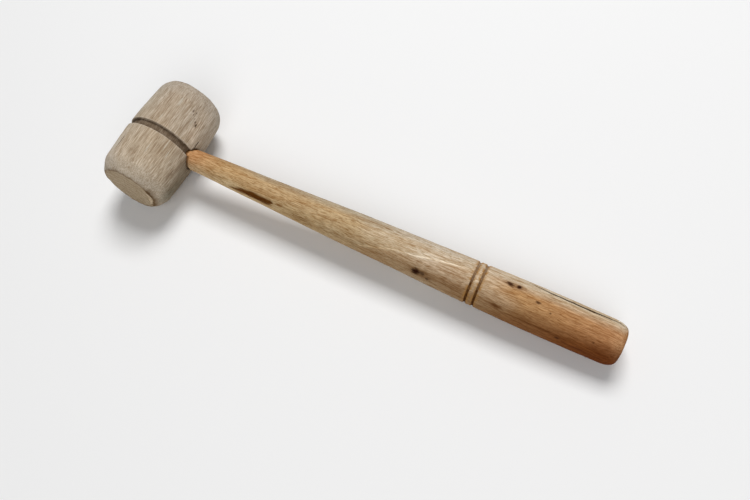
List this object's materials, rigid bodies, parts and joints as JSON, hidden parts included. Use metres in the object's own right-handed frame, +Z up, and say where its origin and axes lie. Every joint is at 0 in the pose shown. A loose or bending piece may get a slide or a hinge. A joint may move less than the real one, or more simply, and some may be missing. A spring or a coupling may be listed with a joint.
{
  "type": "wooden mallet",
  "caption": "Turned wooden mallet: barrel head grooved round the middle, wedged on a tapered round handle with a swelled grip.",
  "frame": {"origin": "on the ground plane, under the centre of the mallet's bounding box as it lies on its side", "axes": "+X along the handle towards the grip, -Y out of the front striking face, +Z up; the handle slopes down 2.6 degrees so that head and grip both touch the ground"},
  "size_m": [0.3139, 0.0742, 0.05],
  "materials": {
    "head_wood": "unvarnished pale grey-beige hardwood, dry and matte, fine fibre along the head's axis",
    "handle_wood": "unvarnished tan hardwood, orange-brown towards the grip, handled smooth, small knots and one long check",
    "wedge_wood": "unvarnished darker hardwood, sawn flush"
  },
  "bodies": {
    "root": {"head": "head_wood", "handle": "handle_wood", "tenon_wedge": "wedge_wood"}
  },
  "joints": []
}
